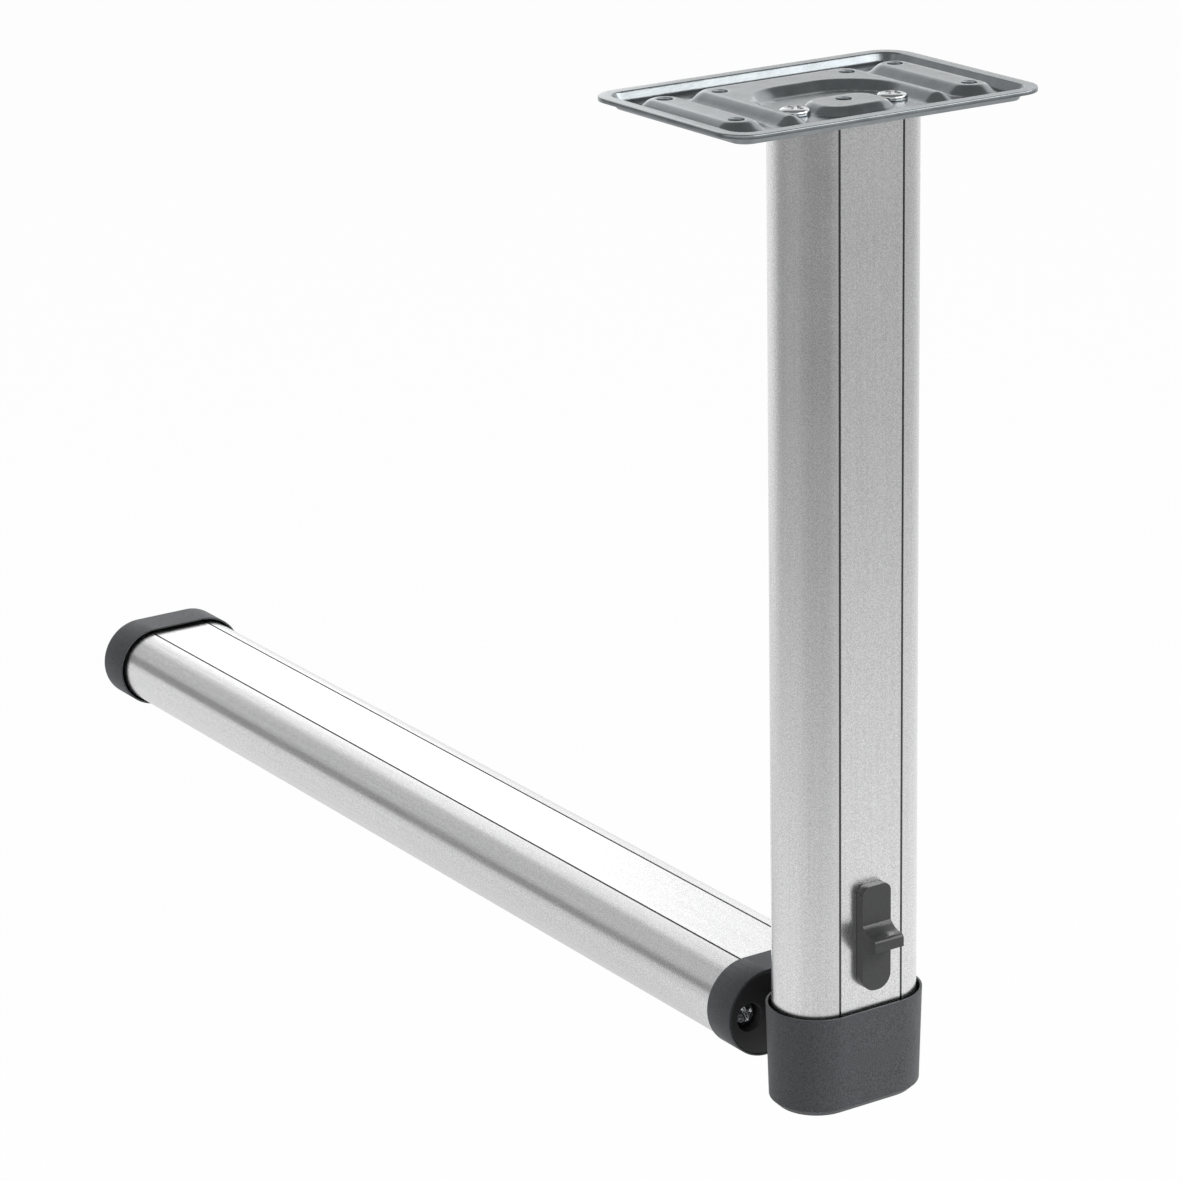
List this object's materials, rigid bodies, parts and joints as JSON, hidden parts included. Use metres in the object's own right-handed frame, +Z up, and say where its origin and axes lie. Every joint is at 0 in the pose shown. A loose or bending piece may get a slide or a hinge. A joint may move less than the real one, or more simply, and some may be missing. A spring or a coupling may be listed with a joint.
{
  "type": "folding table leg",
  "caption": "Two-part flat-oval folding table leg with a pressed mounting plate, a locking knuckle and a spring-loaded release slide.",
  "frame": {"origin": "centre of the four corner screw holes, on the mounting plate's top plane, which meets the table's underside", "axes": "+Z up out of the mounting plate, +X along the plate's long side, +Y from the column towards the foot of the folded lower leg"},
  "size_m": [0.1106, 0.4703, 0.3099],
  "materials": {
    "aluminium_tube": "satin anodised, fine grain along the tube",
    "zinc_plate": "bright zinc-plated pressed steel",
    "screw_zinc": "bright zinc-plated steel",
    "grey_plastic": "matt slate grey with a fine grain",
    "black_plastic": "matt black with a fine grain",
    "slider_plastic": "satin dark grey",
    "bush_plastic": "natural acetal",
    "bolt_zinc": "die-cast, tumbled",
    "pin_steel": "ground",
    "spring_steel": "drawn wire"
  },
  "bodies": {
    "upper_leg": {"mounting_plate": "zinc_plate", "plate_gasket": "black_plastic", "plate_screw_left": "screw_zinc", "plate_screw_right": "screw_zinc", "upper_tube": "aluminium_tube", "upper_cap": "grey_plastic", "cap_screw_left": "screw_zinc", "cap_screw_right": "screw_zinc", "hinge_block": "black_plastic", "hinge_pin": "pin_steel", "return_spring": "spring_steel"},
    "release_slider": {"slider_button": "slider_plastic", "lock_bolt": "bolt_zinc"},
    "lower_leg": {"lower_tube": "aluminium_tube", "hinge_tongue": "black_plastic", "hinge_bush": "bush_plastic", "tongue_screw_left": "screw_zinc", "tongue_screw_right": "screw_zinc", "lower_collar": "grey_plastic", "foot_cap": "grey_plastic"}
  },
  "joints": [
    {"name": "leg_fold", "type": "hinge", "parent": "upper_leg", "child": "lower_leg", "pos_m": [0, -0.0099, -0.2877], "axis": [-1, 0, 0], "range_deg": [0, 90]},
    {"name": "release_slide", "type": "slide", "parent": "upper_leg", "child": "release_slider", "axis": [0, 0, 1], "range_m": [0, 0.007], "stiffness_N_per_m": 400, "springref_m": -0.005, "deforming": ["return_spring"]}
  ]
}
